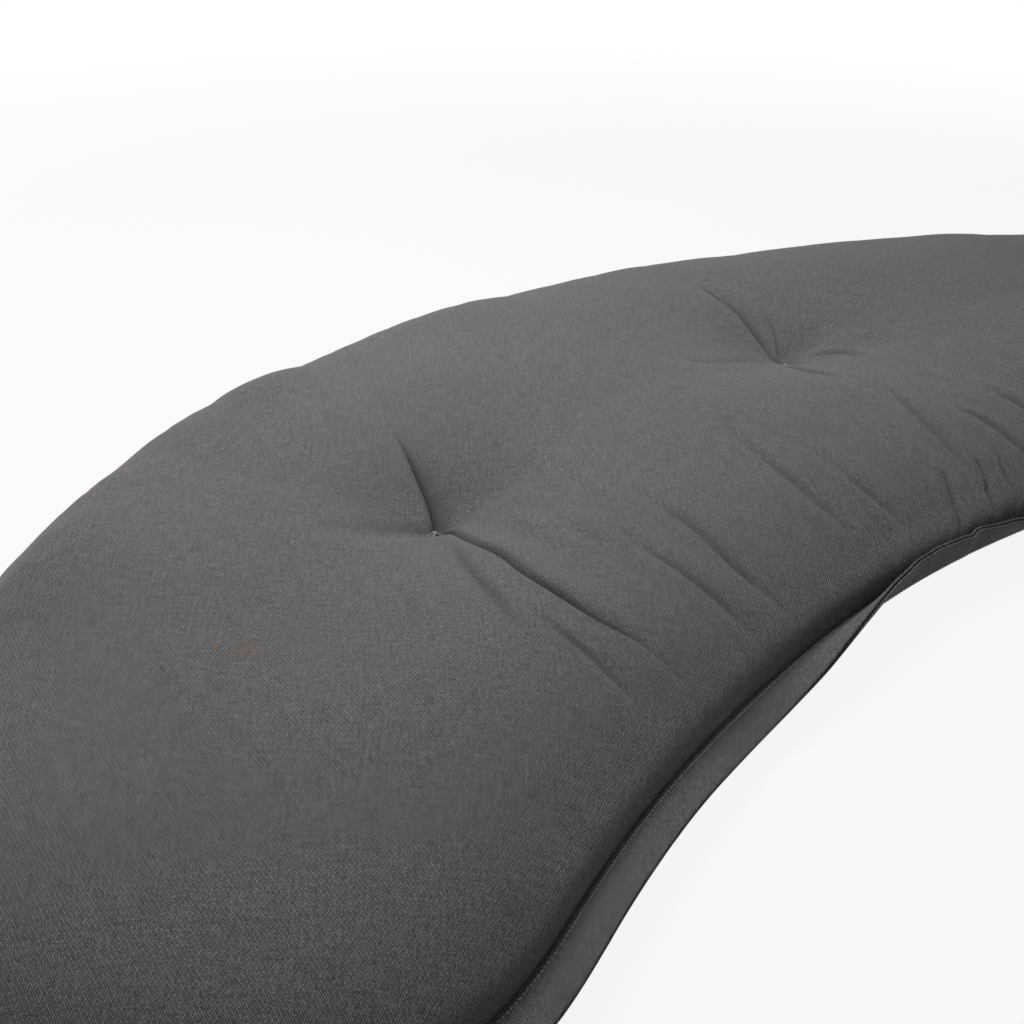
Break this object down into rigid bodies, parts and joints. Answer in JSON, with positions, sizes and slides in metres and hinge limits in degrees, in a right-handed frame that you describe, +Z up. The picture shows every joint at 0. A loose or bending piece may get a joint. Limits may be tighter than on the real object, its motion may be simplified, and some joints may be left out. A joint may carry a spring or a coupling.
{
  "type": "curved garden bench cushion",
  "caption": "Crescent-shaped filled seat cushion for a curved garden bench or row of chairs, tufted along its middle line, with a topstitched flange sewn round its edge.",
  "frame": {"origin": "on the ground under the middle of the whole cushion's box", "axes": "+X along the cushion from end to end, +Y towards its convex back edge, +Z up out of its crown"},
  "size_m": [1.4814, 0.6924, 0.0688],
  "materials": {
    "cover_cloth": "matt taupe grey melange outdoor cloth, fine basket weave with paler slubs",
    "flange_cloth": "the same melange cloth, doubled and topstitched in matching thread"
  },
  "bodies": {
    "root": {"cushion_pad": "cover_cloth", "edge_flange": "flange_cloth"}
  },
  "joints": []
}
